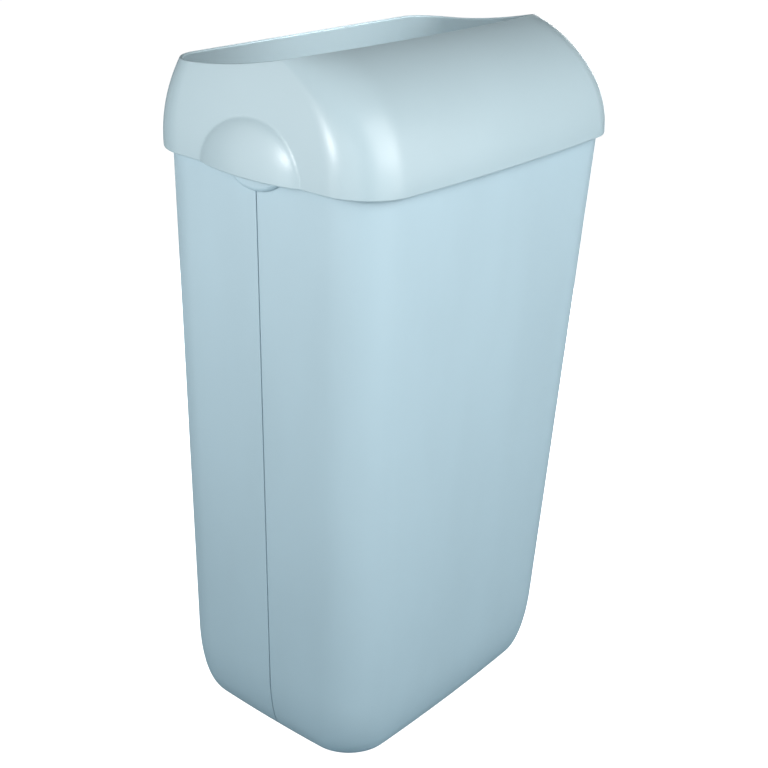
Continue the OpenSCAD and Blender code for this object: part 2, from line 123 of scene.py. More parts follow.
# Seam clips, feet and wall spacers
PAD_R, PAD_HALF, PAD_BACK_HALF, PAD_PROUD, PAD_EDGE, PAD_RISE = 39, 29, 50, 4.4, 4, 12.5
CLIP_GAP, CLIP_BRIDGE, CLIP_BRIDGE_HALF, CLIP_LEG = 0.3, 2.2, 25, 2.4
CLIP_LEG_Y, CLIP_LEG_DROP = (12.5, 22), 14
FOOT_STEM_R, FOOT_BARB_R = 4, 5.5
SPACER_STEM_R, SPACER_BARB_R, WALL_SCREW_R = 7, 8.5, 3.25

# Length of a cutting tool that only has to reach past what it cuts
BEYOND = 30


def mix(a, b, t):
    return a + (b - a) * t


def unit(v):
    return v / np.linalg.norm(v, axis=-1, keepdims=True)


# ---- solids as (points, faces), in millimetres ----

def to_bmesh(shape):
    points, faces = shape
    bm = bmesh.new()
    verts = [bm.verts.new(p) for p in points]
    for f in faces:
        bm.faces.new([verts[i] for i in f])
    bmesh.ops.recalc_face_normals(bm, faces=bm.faces[:])
    return bm


def from_bmesh(bm):
    bm.verts.index_update()
    points = np.array([v.co[:] for v in bm.verts])
    faces = [[v.index for v in f.verts] for f in bm.faces]
    bm.free()
    return points, faces


def soften(shape, width, segments=2, angle=50):
    """The same solid with its sharp edges rounded."""
    bm = to_bmesh(shape)
    sharp = [e for e in bm.edges if e.calc_face_angle(0) > math.radians(angle)]
    bmesh.ops.bevel(bm, geom=sharp, offset=width, segments=segments, profile=0.5,
                    affect="EDGES", clamp_overlap=True)
    return from_bmesh(bm)


def moved(shape, matrix):
    points, faces = shape
    m = np.array(matrix)
    return points @ m[:3, :3].T + m[:3, 3], faces


def mirrored(shape, side):
    """The shape as drawn on the right-hand side, or its mirror image for the left."""
    points, faces = shape
    return points * (side, 1, 1), faces


def joined(shapes):
    """Several separate solids as one list of points and faces."""
    points, faces, start = [], [], 0
    for p, f in shapes:
        points.append(p)
        faces += [[i + start for i in face] for face in f]
        start += len(p)
    return np.concatenate(points), faces


def prism(outline, length):
    """A closed outline in X and Y, drawn out along Z from 0 to length."""
    n = len(outline)
    points = np.array([(x, y, z) for z in (0, length) for x, y in outline])
    sides = [[i, (i + 1) % n, n + (i + 1) % n, n + i] for i in range(n)]
    return points, [list(range(n))[::-1], list(range(n, 2 * n)), *sides]


def block(low, high, edge=0.4):
    """Box between two corners, with rounded edges."""
    (x0, y0, z0), (x1, y1, z1) = low, high
    box = prism([(x0, y0), (x1, y0), (x1, y1), (x0, y1)], z1 - z0)
    return soften(moved(box, Matrix.Translation((0, 0, z0))), edge)


def fillet(points, radii, steps=4):
    """A closed outline whose corners are rounded, each by its own radius or all by one. 0 keeps a corner."""
    points = [np.array(p, float) for p in points]
    radii = [radii] * len(points) if np.isscalar(radii) else radii
    out = []
    for i, (p, radius) in enumerate(zip(points, radii)):
        if radius == 0:
            out.append(p)
            continue
        u, v = unit(points[i - 1] - p), unit(points[(i + 1) % len(points)] - p)
        turn = math.acos(max(-1, min(1, float(u @ v))))
        centre = p + unit(u + v) * radius / math.sin(turn / 2)
        reach = radius / math.tan(turn / 2)
        start, end, arc = p + u * reach - centre, p + v * reach - centre, math.pi - turn
        out += [centre + (start * math.sin((1 - k / steps) * arc) + end * math.sin(k / steps * arc))
                / math.sin(arc) for k in range(steps + 1)]
    return out


def lathe(profile, steps=48):
    """Solid of revolution about Z of a closed outline of (radius, height) points."""
    turns = [2 * math.pi * k / steps for k in range(steps)]
    points, rings = [], []
    for r, z in profile:
        at = len(points)
        if r < 1e-6:
            points.append((0, 0, z))
            rings.append([at] * steps)
        else:
            points += [(r * math.cos(a), r * math.sin(a), z) for a in turns]
            rings.append(list(range(at, at + steps)))
    faces = []
    for a, b in zip(rings, rings[1:] + rings[:1]):
        for k in range(steps):
            corner = [a[k], a[(k + 1) % steps], b[(k + 1) % steps], b[k]]
            face = list(dict.fromkeys(corner))
            if len(face) > 2:
                faces.append(face)
    return np.array(points), faces


def closed_grid(grid):
    """Solid whose surface is a grid of points that closes on itself both ways."""
    rows, cols = grid.shape[:2]
    faces = [[i * cols + j, (i + 1) % rows * cols + j,
              (i + 1) % rows * cols + (j + 1) % cols, i * cols + (j + 1) % cols]
             for i in range(rows) for j in range(cols)]
    return grid.reshape(-1, 3), faces


def tube(grid):
    """Solid whose surface is a stack of closed rings, with flat ends."""
    rows, cols = grid.shape[:2]
    faces = [[i * cols + j, i * cols + (j + 1) % cols, (i + 1) * cols + (j + 1) % cols, (i + 1) * cols + j]
             for i in range(rows - 1) for j in range(cols)]
    ends = [list(range(cols))[::-1], list(range((rows - 1) * cols, rows * cols))]
    return grid.reshape(-1, 3), faces + ends


def across(shape, x):
    """A shape drawn with its outline in X and Y, turned so that it is in Y and Z, from x along +X."""
    turn = Matrix.Rotation(math.radians(90), 4, "Z") @ Matrix.Rotation(math.radians(90), 4, "X")
    return moved(shape, Matrix.Translation((x, 0, 0)) @ turn)


def along_x(shape, x, y, z):
    """A shape drawn along Z from 0, laid along +X from the given point."""
    return moved(shape, Matrix.Translation((x, y, z)) @ Matrix.Rotation(math.radians(90), 4, "Y"))


def along_y(shape, x, y, z, direction):
    """A shape drawn along Z from 0, laid along +Y or -Y from the given point."""
    turn = Matrix.Rotation(math.radians(-90 * direction), 4, "X")
    return moved(shape, Matrix.Translation((x, y, z)) @ turn)


def on_side_wall(shape, side):
    """A shape drawn with +Z up the right-hand wall's inner face at the seam, put on either side."""
    place = Matrix.Translation((BASE_HALF - WALL, SEAM_Y, BASE_Z)) @ Matrix.Rotation(TAPER, 4, "Y")
    return mirrored(moved(shape, place), side)


# ---- Blender objects ----

def new_object(name, shape):
    """Blender object from a shape in millimetres."""
    bm = to_bmesh(shape)
    bmesh.ops.scale(bm, vec=(MM, MM, MM), verts=bm.verts[:])
    mesh = bpy.data.meshes.new(name)
    bm.to_mesh(mesh)
    bm.free()
    obj = bpy.data.objects.new(name, mesh)
    bpy.context.scene.collection.objects.link(obj)
    return obj


def combine(obj, shapes, operation):
    """Adds shapes to an object's mesh or cuts them out of it, each as a true solid."""
    for n, shape in enumerate(shapes):
        tool = new_object(f"tool_{n}", shape)
        step = obj.modifiers.new("combine", "BOOLEAN")
        step.operation = operation
        step.solver = "MANIFOLD"
        step.object = tool
        bpy.context.view_layer.update()
        result = bpy.data.meshes.new_from_object(obj.evaluated_get(bpy.context.evaluated_depsgraph_get()))
        obj.modifiers.clear()
        obj.data = result
        bpy.data.objects.remove(tool)


def finished(obj, node, material, sharp=34):
    """Makes an object stand for a CAD node: its body, material and shading."""
    obj.data.materials.clear()
    obj.data.materials.append(material)
    obj.data.shade_smooth()
    obj.data.set_sharp_from_angle(angle=math.radians(sharp))
    even = obj.modifiers.new("even_normals", "WEIGHTED_NORMAL")
    even.keep_sharp = True
    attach(obj, body_of_node(node))
    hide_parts(node)
    return obj


def body_of_node(node):
    bodies = frame["record"]["behaviour"]["bodies"]
    return next(name for name, nodes in bodies.items() if node in nodes)


# ---- body shells ----

def body_half(z):
    return mix(BASE_HALF, MOUTH_HALF, (z - BASE_Z) / BODY_HEIGHT) - SIDE_CROWN


def body_front(z):
    return BACK_Y - mix(BASE_DEPTH, MOUTH_DEPTH, (z - BASE_Z) / BODY_HEIGHT) + FRONT_CROWN


SHELL_STEPS = (22, 18, 22)
WALL_ROWS, ROLL_ROWS = 10, 24


def half_outline(half, y_end, r, end):
    """From the seam round one end's corner to the middle of that end."""
    side, corner, face = SHELL_STEPS
    start, turn_y = SEAM_Y + end * SEAM_GAP / 2, y_end - end * r
    points = [(half, mix(start, turn_y, i / side)) for i in range(side)]
    for i in range(corner + 1):
        a = math.radians(90 * i / corner)
        points.append((half - r + r * math.cos(a), turn_y + end * r * math.sin(a)))
    points += [((half - r) * (1 - i / face), y_end) for i in range(1, face + 1)]
    return points


def shell_row(z, inset, thick, end):
    """One shell's outline at height z, from its right-hand seam to its left-hand seam."""
    half = body_half(z) - inset - thick
    y_front, y_back = body_front(z) + inset + thick, BACK_Y - inset - thick
    middle, reach = (y_front + y_back) / 2, (y_back - y_front) / 2
    y_end, corner, crown = (y_front, FRONT_CORNER, FRONT_CROWN) if end == FRONT else (y_back, BACK_CORNER, 0)
    row = []
    for x, y in half_outline(half, y_end, corner - CORNER_SHRINK * inset - thick, end):
        swell = SIDE_CROWN * (1 - ((y - middle) / reach) ** 2) * x / half
        bow = crown * (1 - (x / half) ** 2) * max(0, end * (y - middle)) / reach
        row.append((x + swell, y + end * bow, z))
    return row + [(-x, y, z) for x, y, z in row[-2::-1]]


def shell_grid(thick, bottom, end):
    """Rows from the mouth down the wall and round the base's edge."""
    roll = ROLL_HEIGHT + BASE_Z - bottom
    rows = [shell_row(mix(MOUTH_Z, bottom + roll, i / WALL_ROWS), 0, thick, end) for i in range(WALL_ROWS)]
    for i in range(ROLL_ROWS + 1):
        a = math.radians(90 * (1 - i / ROLL_ROWS))
        rows.append(shell_row(bottom + roll * (1 - math.cos(a)), ROLL_IN * (1 - math.sin(a)), thick, end))
    return np.array(rows)


def shell_wall(end):
    """The plain shell: outer and inner faces, the mouth's edge, the seam edges and the floor."""
    outer, inner = shell_grid(0, BASE_Z, end), shell_grid(WALL, FLOOR_Z, end)
    rows, cols = outer.shape[:2]
    n = rows * cols
    last = (rows - 1) * cols

    def strip(a, b):
        return [[a[k], a[k + 1], b[k + 1], b[k]] for k in range(len(a) - 1)]

    row = [list(range(i * cols, (i + 1) * cols)) for i in range(rows)]
    left, right = [r[-1] for r in row], [r[0] for r in row]
    faces = [f for i in range(rows - 1) for f in strip(row[i], row[i + 1])]
    faces += [[i + n for i in f] for f in faces]
    faces += strip(row[0], [i + n for i in row[0]])
    faces += strip(left, [i + n for i in left]) + strip(right, [i + n for i in right])
    faces += [list(range(last, last + cols)), list(range(n + last, n + last + cols))]
    faces.append([last, last + cols - 1, n + last + cols - 1, n + last])
    return np.concatenate([outer.reshape(-1, 3), inner.reshape(-1, 3)]), faces


def housing(side, end):
    """Half of the round housing of a pivot bush, from inside the wall to its face."""
    reach = body_half(PIVOT_Z) + SIDE_CROWN - WALL / 2 - HOUSING_FACE
    arc = [math.radians(180 * k / 24) for k in range(25)]
    outline = [(HOUSING_R * math.cos(a), end * HOUSING_R * math.sin(a)) for a in arc]
    outline = [(x, y + end * SEAM_GAP / 8) for x, y in outline]
    return mirrored(along_x(soften(prism(outline, reach), width=0.5), HOUSING_FACE, SEAM_Y, PIVOT_Z), side)


def side_flange(side, end):
    y = sorted((end * SEAM_GAP / 8, end * FLANGE_THICK))
    return on_side_wall(block((-FLANGE_DEPTH, y[0], FLANGE_BOTTOM), (WALL / 2, y[1], FLANGE_TOP)), side)


def floor_rib(end):
    y = sorted((SEAM_Y + end * SEAM_GAP / 8, SEAM_Y + end * FLANGE_THICK))
    return block((-FLOOR_RIB_HALF, y[0], FLOOR_Z - WALL / 2),
                 (FLOOR_RIB_HALF, y[1], FLOOR_Z + FLOOR_RIB_HEIGHT))


def rod(r, length, steps=32):
    """Plain round tool along Z, for holes."""
    return lathe([(0, 0), (r, 0), (r, length), (0, length)], steps)


def screw_hole():
    """Tool for a screw's hole, across the flanges and the strip on the right-hand wall."""
    return along_y(rod(SCREW_R, BEYOND), -FLANGE_DEPTH / 2, -BEYOND / 2, SCREW_Z, 1)


def shell_holes(side, foot):
    """Room for a bush, the screw's hole and the foot's hole, on one side of one shell."""
    low, high = node_box(foot)
    x, y = (low[:2] + high[:2]) / 2
    bush = along_x(rod(BUSH_R, BUSH_HIGH[0] - HOUSING_FACE + 1, steps=48), HOUSING_FACE - 1, SEAM_Y, PIVOT_Z)
    stem = moved(rod(FOOT_STEM_R, FLOOR_Z + 1), Matrix.Translation((x, y, 0)))
    return [mirrored(bush, side), on_side_wall(screw_hole(), side), stem]


def ring_ledge(side):
    """Bracket on the front wall that the ring's front bar rests on."""
    low_x, high_x = LEDGE_X
    top = RING_LOW[2] - LEDGE_GAP
    root = body_front(top) - WALL / 3
    tip = RING_LOW[1] + LEDGE_OVERLAP
    outline = [(root, top), (tip, top), (tip, top - LEDGE_TIP), (root, top - LEDGE_ROOT)]
    return mirrored(across(soften(prism(outline, high_x - low_x), width=0.5), low_x), side)


def make_shell(node, end, material):
    shell = new_object(node + "_moulding", soften(shell_wall(end), width=0.6, segments=3))
    extras = [make(side, end) for side in (LEFT, RIGHT) for make in (housing, side_flange)]
    extras.append(floor_rib(end))
    holes = []
    for side, hand in ((LEFT, "left"), (RIGHT, "right")):
        holes += shell_holes(side, f"foot_{'front' if end == FRONT else 'rear'}_{hand}")
        if end == FRONT:
            extras.append(ring_ledge(side))
        else:
            holes += [along_y(rod(SPACER_STEM_R, WALL + 3, steps=48), *wall_hole(up, hand), -1)
                      for up in ("upper", "lower")]
    combine(shell, extras, "UNION")
    combine(shell, holes, "DIFFERENCE")
    return finished(shell, node, material)


def wall_hole(up, hand):
    """A point just behind the back wall, on a wall hole's axis."""
    low, high = node_box(f"wall_spacer_{up}_{hand}")
    return (low[0] + high[0]) / 2, BACK_Y + 1, (low[2] + high[2]) / 2


# ---- hood ----

def hood_share(z):
    return (z - RIM_Z) / (RIDGE_Z - RIM_Z)


def hood_half(z):
    return body_half(RIM_Z) + SKIRT_GAP - SIDE_LEAN * hood_share(z) ** 2


def hood_back(z):
    return HOOD_BACK_Y - BACK_LEAN * hood_share(z) ** 2


def hood_front(z):
    return ARCH_CENTRE_Y - (ARCH_CENTRE_Y - HOOD_FRONT_Y) * math.sqrt(1 - ((z - RIM_Z) / ARCH_HEIGHT) ** 2)


def bulge(y, z):
    """Dome that swells out of each side, centred on the seam at the bottom of the skirt."""
    along = (y - SEAM_Y) / BULGE_REACH[FRONT if y < SEAM_Y else REAR]
    r2 = along ** 2 + ((z - RIM_Z) / BULGE_HEIGHT) ** 2
    if r2 >= 1:
        return 0
    return BULGE_DEPTH * (1 - r2) ** BULGE_POWER


def hood_plan(zone, t, z):
    """A point of the right half's outline at height z, from the back's middle to the front's."""
    half, back, front = hood_half(z), hood_back(z), hood_front(z)
    rf, rb = mix(*FRONT_CORNERS, hood_share(z)), mix(*BACK_CORNERS, hood_share(z))
    a = t * math.pi / 2
    if zone == "back":
        return (half - rb) * t, back
    if zone == "back_corner":
        return half - rb + rb * math.sin(a), back - rb + rb * math.cos(a)
    if zone == "side":
        return half, mix(back - rb, front + rf, t)
    if zone == "front_corner":
        return half - rf + rf * math.cos(a), front + rf - rf * math.sin(a)
    return (half - rf) * (1 - t), front


def hood_point(zone, t, z):
    """A point of the outer face: the outline with its crowns, and the bulge on its sides."""
    x, y = hood_plan(zone, t, z)
    half, back, front = hood_half(z), hood_back(z), hood_front(z)
    middle, reach = (back + front) / 2, (back - front) / 2
    lift = max(0, middle - y) / reach
    swell = SIDE_CROWN * (1 - ((y - middle) / reach) ** 2) * x / half
    fade = min(1, x / half) ** 8
    return (x + swell + bulge(y, z) * fade, y - HOOD_CROWN * (1 - (x / half) ** 2) * lift, z)


def edge_height(y):
    """Height of the hood's top edge: level on the back wall, rising along the sides to the ridge."""
    back, front = hood_back(RIDGE_Z), hood_front(RIDGE_Z)
    t = max(0, min(1, (back - y) / (back - front)))
    return RIM_Z + mix(BACK_WALL_HEIGHT, RIDGE_Z - RIM_Z, t ** EDGE_POWER)


def top_height(zone, t):
    """Height at which a column meets the hood's top edge, found by repeated halving."""
    z = RIDGE_Z
    for _ in range(24):
        z = (z + edge_height(hood_plan(zone, t, z)[1])) / 2
    return z


HOOD_ROWS, EDGE_STEPS = 64, 6
HOOD_ZONES = (("back", 14), ("back_corner", 16), ("side", 96), ("front_corner", 22), ("front", 36))


def hood_column(zone, t):
    """Points up one column, evenly spaced along its length, and its two ends."""
    top = top_height(zone, t)
    steepest = math.asin((top - RIM_Z) / ARCH_HEIGHT)
    heights = RIM_Z + ARCH_HEIGHT * np.sin(np.linspace(0, steepest, 120))
    fine = np.array([hood_point(zone, t, z) for z in heights])
    length = np.concatenate([[0], np.cumsum(np.linalg.norm(np.diff(fine, axis=0), axis=1))])
    at = np.linspace(RIM_R, length[-1] - LIP_R, HOOD_ROWS)
    rows = [hood_point(zone, t, z) for z in np.interp(at, length, heights)]
    return [fine[0], *rows, fine[-1]]


def hood_grid():
    """Outer face of the hood: rows of whole loops, clockwise seen from above."""
    right = [hood_column(zone, i / steps) for zone, steps in HOOD_ZONES for i in range(steps)]
    right.append(hood_column("front", 1))
    left = [[(-x, y, z) for x, y, z in column] for column in right[-2:0:-1]]
    return np.array(right + left).transpose(1, 0, 2)


def edge_arc(edge, before, normal, radius):
    """Rounded edge of the hood's wall: a quarter arc outside, then one inside."""
    ahead = edge - before
    ahead = unit(ahead - normal * (ahead * normal).sum(-1, keepdims=True))
    rows = []
    for inner in (False, True):
        depth = HOOD_WALL - radius if inner else radius
        centre = edge - ahead * radius - normal * depth
        for k in range(EDGE_STEPS + 1):
            a = math.radians(90 * k / EDGE_STEPS + (90 if inner else 0))
            rows.append(centre + radius * (normal * math.cos(a) + ahead * math.sin(a)))
    return rows


def hood_wall():
    """The hood without its stops: outer face, rounded top edge, inner face and rounded rim."""
    grid = hood_grid()
    ahead = np.roll(grid, -1, axis=1) - np.roll(grid, 1, axis=1)
    up = np.gradient(grid, axis=0)
    outward = -unit(np.cross(ahead, up))
    outer = grid[1:-1]
    inner = outer - HOOD_WALL * outward[1:-1]
    top = edge_arc(grid[-1], grid[-2], outward[-2], LIP_R)
    bottom = edge_arc(grid[0], grid[1], outward[1], RIM_R)
    return closed_grid(np.array([*outer[:-1], *top, *inner[-2:0:-1], *bottom[::-1]]))


def hood_stop(side, end):
    """Rib under the hood that rests on the body's mouth."""
    x, bottom = STOP_X[end], MOUTH_Z + STOP_GAP
    top = bottom + STOP_HEIGHT
    crown = HOOD_CROWN * (1 - (x / hood_half(top)) ** 2)
    start = hood_front(top) - crown + HOOD_WALL / 4 if end == FRONT else hood_back(top) - HOOD_WALL / 2
    y = sorted((start, start - end * STOP_DEPTH))
    return mirrored(block((x - STOP_HALF, y[0], bottom), (x + STOP_HALF, y[1], top), edge=0.6), side)


def make_hood(material):
    hood = new_object("lid_moulding", hood_wall())
    combine(hood, [hood_stop(side, end) for side in (LEFT, RIGHT) for end in (FRONT, REAR)], "UNION")
    return finished(hood, "lid", material)


# ---- bag ring and its pivots ----

def ring_bar(half_y, steps=20):
    """Flat bar bent to a rounded rectangle round the origin."""
    mid_x, mid_y, r = RING_HALF - RING_BAR / 2, half_y - RING_BAR / 2, RING_CORNER - RING_BAR / 2
    half, rise = RING_BAR / 2, RING_HEIGHT / 2
    section = fillet([(-half, -rise), (half, -rise), (half, rise), (-half, rise)], RING_EDGE)
    grid = []
    for quarter, (sx, sy) in enumerate(((1, 1), (-1, 1), (-1, -1), (1, -1))):
        for k in range(steps + 1):
            a = math.radians(90 * (quarter + k / steps))
            out = np.array([math.cos(a), math.sin(a), 0])
            p = np.array([sx * (mid_x - r), sy * (mid_y - r), 0]) + r * out
            grid.append([p + out * s + np.array([0, 0, h]) for s, h in section])
    return closed_grid(np.array(grid))


def make_bag_ring(material):
    """Ring with a hub on each side, bored for its pin, and a lifting tab in front."""
    half_y = RING_HIGH[1] - SEAM_Y
    place = Matrix.Translation((0, SEAM_Y, PIVOT_Z))
    ring = new_object("bag_ring_moulding", moved(ring_bar(half_y), place))
    tab_y, top = RING_BAR / 3 - half_y, RING_HEIGHT / 2
    tab = block((-TAB_HALF, tab_y, top - TAB_THICK), (TAB_HALF, tab_y + TAB_LENGTH, top), edge=1)
    root = RING_HALF - RING_BAR / 2
    hub_length = BUSH_LOW[0] - HUB_GAP - root
    hub = lathe(fillet([(0, 0), (HUB_R, 0), (HUB_R, hub_length), (0, hub_length)], (0, 0, 0.8, 0)))
    bore = rod(PIN_R, BEYOND, steps=48)
    hubs = [mirrored(along_x(hub, root, SEAM_Y, PIVOT_Z), side) for side in (LEFT, RIGHT)]
    bores = [mirrored(along_x(bore, PIN_LOW[0], SEAM_Y, PIVOT_Z), side) for side in (LEFT, RIGHT)]
    combine(ring, [moved(tab, place), *hubs], "UNION")
    combine(ring, bores, "DIFFERENCE")
    return finished(ring, "bag_ring", material)


def make_pivots(pin_material, bush_material):
    """Steel pins with rounded ends, in flanged bushes that are closed behind."""
    pin_length, bush_length = PIN_HIGH[0] - PIN_LOW[0], BUSH_HIGH[0] - BUSH_LOW[0]
    pin = lathe(fillet([(0, 0), (PIN_R, 0), (PIN_R, pin_length), (0, pin_length)], (0, 0.5, 0.5, 0)))
    bore, flange_r, bore_end = PIN_R + PIN_PLAY, (BUSH_HIGH[2] - BUSH_LOW[2]) / 2, bush_length - BUSH_BACK
    outline = [(bore, 0), (flange_r, 0), (flange_r, BUSH_FLANGE), (BUSH_R, BUSH_FLANGE),
               (BUSH_R, bush_length), (0, bush_length), (0, bore_end), (bore, bore_end)]
    bush = lathe(fillet(outline, (0.3, 0.3, 0.3, 0, 0.5, 0, 0, 0), steps=3), steps=64)
    for side, hand in ((LEFT, "left"), (RIGHT, "right")):
        place = (SEAM_Y, PIVOT_Z)
        obj = new_object(f"pivot_pin_{hand}_turned", mirrored(along_x(pin, PIN_LOW[0], *place), side))
        finished(obj, f"pivot_pin_{hand}", pin_material)
        obj = new_object(f"pivot_bush_{hand}_moulding", mirrored(along_x(bush, BUSH_LOW[0], *place), side))
        finished(obj, f"pivot_bush_{hand}", bush_material)


# ---- what joins the shells ----

def make_seam_clip(side, hand, material):
    """Moulded clip over the mouth: a round pad outside, a bridge and two legs inside."""
    node = f"seam_clip_{hand}"
    face = node_box("seam_clip_right")[1][0]
    inner = body_half(MOUTH_Z) + SIDE_CROWN - WALL
    disc = [(0, 0), (PAD_R, 0), (PAD_R, 2 * PAD_PROUD), (0, 2 * PAD_PROUD)]
    disc = lathe(fillet(disc, (0, 0.3, PAD_EDGE, 0), steps=8), steps=128)
    pad = along_x(disc, face - 2 * PAD_PROUD, SEAM_Y, MOUTH_Z + PAD_RISE)
    bridge_low = MOUTH_Z + CLIP_GAP
    kept = block((0, SEAM_Y - PAD_HALF, 0),
                 (2 * face, SEAM_Y + PAD_HALF, bridge_low + CLIP_BRIDGE / 2), edge=0)
    behind = block((-PAD_PROUD, -PAD_BACK_HALF, 0),
                   (WALL + CLIP_GAP, PAD_BACK_HALF, BODY_HEIGHT + BEYOND), edge=0)
    start = inner - CLIP_GAP - CLIP_LEG
    bridge = block((start, SEAM_Y - CLIP_BRIDGE_HALF, bridge_low),
                   (face - 1, SEAM_Y + CLIP_BRIDGE_HALF, bridge_low + CLIP_BRIDGE), edge=0.6)
    legs = [block((-CLIP_GAP - CLIP_LEG, y[0], BODY_HEIGHT - CLIP_LEG_DROP),
                  (-CLIP_GAP, y[1], BODY_HEIGHT + 2), edge=0.5)
            for y in (CLIP_LEG_Y, (-CLIP_LEG_Y[1], -CLIP_LEG_Y[0]))]
    clip = new_object(node + "_moulding", mirrored(pad, side))
    combine(clip, [mirrored(kept, side)], "INTERSECT")
    combine(clip, [on_side_wall(behind, side)], "DIFFERENCE")
    combine(clip, [mirrored(bridge, side), *[on_side_wall(leg, side) for leg in legs]], "UNION")
    finished(clip, node, material)


def channel(depth, length, radii):
    """U-shaped channel along Z, open towards +X, that fits over a double flange."""
    half, inside = FLANGE_THICK + STRIP_LEG, FLANGE_THICK
    back = -depth - STRIP_LEG
    outline = [(0, -half), (back, -half), (back, half), (0, half),
               (0, inside), (-depth, inside), (-depth, -inside), (0, -inside)]
    outer, tip, root = radii
    rounded = fillet(outline, (tip, outer, outer, tip, tip, root, root, tip))
    return soften(prism(rounded, length), width=0.3, angle=60)


def make_joining_strip(side, hand, material):
    """Extruded channel pushed down over the two shells' flanges, with a hole for its screw."""
    length = FLANGE_TOP - FLANGE_BOTTOM
    strip = moved(channel(FLANGE_DEPTH - CHANNEL_GAP, length, (1.4, 0.6, 0.5)),
                  Matrix.Translation((-CHANNEL_GAP, 0, FLANGE_BOTTOM)))
    obj = new_object(f"joining_strip_{hand}_extrusion", on_side_wall(strip, side))
    combine(obj, [on_side_wall(screw_hole(), side)], "DIFFERENCE")
    finished(obj, f"joining_strip_{hand}", material)


def screw():
    """Self-tapping pan-head screw along Z, from the top of its head: a stack of rings."""
    head_r, core, pitch, length = 3.6, 1.25, 1.3, 15
    turn = np.linspace(0, 2 * math.pi, 32, endpoint=False)
    dome = [(head_r * math.sin(a), 1.6 * (math.cos(0.5) - math.cos(a))) for a in np.linspace(0.5, 1.57, 7)]
    stack = [*dome, (head_r, SCREW_HEAD - 0.3), (head_r - 0.2, SCREW_HEAD), (core, SCREW_HEAD)]
    for z in np.arange(SCREW_HEAD + 0.2, length - 2, pitch / 8):
        ridge = np.clip(1 - 3 * np.abs((z / pitch - turn / (2 * math.pi)) % 1 - 0.5), 0, 1)
        stack.append((core + (SCREW_R - core) * ridge, z))
    stack += [(core, length - 1.9), (0.7, length - 0.7), (0.15, length)]
    return tube(np.array([np.stack([r * np.cos(turn), r * np.sin(turn), z + 0 * turn], 1) for r, z in stack]))


def make_strip_screws(material):
    """Two screws, one through each joining strip, with cross recesses."""
    place = (-FLANGE_DEPTH / 2, -FLANGE_THICK - STRIP_LEG - SCREW_HEAD, SCREW_Z)
    reach, half, deep = 1.9, 0.45, 1.3
    slots = [block((-x, -y, -1), (x, y, deep), edge=0.1) for x, y in ((reach, half), (half, reach))]
    pair = joined([on_side_wall(along_y(screw(), *place, 1), side) for side in (LEFT, RIGHT)])
    obj = new_object("strip_screws_threaded", pair)
    for side in (LEFT, RIGHT):
        combine(obj, [on_side_wall(along_y(slot, *place, 1), side) for slot in slots], "DIFFERENCE")
    finished(obj, "strip_screws", material)


def make_base_clips(material):
    """Three spring clips pressed over the double rib on the floor."""
    low, high = node_box("base_clips")
    clip = channel(FLOOR_RIB_HEIGHT - CHANNEL_GAP, BASE_CLIP_LENGTH, (2.8, 0.9, 0.4))
    stood = moved(clip, Matrix.Rotation(math.radians(90), 4, "Y"))
    starts = (low[0], -BASE_CLIP_LENGTH / 2, high[0] - BASE_CLIP_LENGTH)
    clips = [moved(stood, Matrix.Translation((x, SEAM_Y, low[2]))) for x in starts]
    finished(new_object("base_clips_pressed", joined(clips)), "base_clips", material)


# ---- feet and wall spacers ----

def make_foot(node, material):
    """Push-in rubber foot: a disc with a grooved tread, a stem through the floor and a barb."""
    low, high = node_box(node)
    r, top = (high[0] - low[0]) / 2, high[2]
    tread = [(5, 0.7), (5.6, 0), (6.8, 0), (7, 0.4), (7.5, 0.4), (7.7, 0)]
    barb = [(FOOT_BARB_R, FLOOR_Z), (FOOT_BARB_R, FLOOR_Z + 0.6), (3.4, top)]
    outline = [(0, 0.7), *tread, (r - 0.6, 0), (r, 0.6), (r, BASE_Z), (FOOT_STEM_R, BASE_Z),
               (FOOT_STEM_R, FLOOR_Z), *barb, (0, top)]
    radii = (0, 0.2, 0.2, 0.1, 0.1, 0.1, 0.1, 0.25, 0.25, 0.2, 0, 0, 0.1, 0.25, 0.5, 0)
    x, y = (low[:2] + high[:2]) / 2
    foot = moved(lathe(fillet(outline, radii, steps=3), steps=64), Matrix.Translation((x, y, 0)))
    finished(new_object(node + "_moulding", foot), node, material)


def make_spacer(node, material):
    """Push-in rubber spacer with a bore for a wall screw and two grooves in its face."""
    low, high = node_box(node)
    r, bore = (high[0] - low[0]) / 2, WALL_SCREW_R
    face, end = high[1] - BACK_Y, high[1] - low[1]
    inside = face + WALL
    grooves = [(start + x, z) for start in (6, 9) for x, z in ((0, 0), (0.4, 0.6), (1.2, 0.6), (1.6, 0))]
    barb = [(SPACER_BARB_R, inside), (SPACER_BARB_R, inside + 0.8), (7.2, end)]
    outline = [(bore, 0), *grooves, (r, 0), (r, face), (SPACER_STEM_R, face), (SPACER_STEM_R, inside),
               *barb, (bore + 0.6, end), (bore, end - 0.6)]
    radii = (0.3, *[0.15] * 8, 0.8, 0.4, 0, 0, 0.2, 0.3, 0.3, 0.1, 0.2)
    x, z = (low[0] + high[0]) / 2, (low[2] + high[2]) / 2
    spacer = along_y(lathe(fillet(outline, radii, steps=3), steps=64), x, high[1], z, -1)
    finished(new_object(node + "_moulding", spacer), node, material)


# ---- materials ----

BODY_COLOUR = (0.43, 0.565, 0.63)
HOOD_COLOUR = (0.415, 0.53, 0.575)
FLOOR_GLOW, BOUNCE_COLOUR = 1, (0.2, 0.3, 0.35)


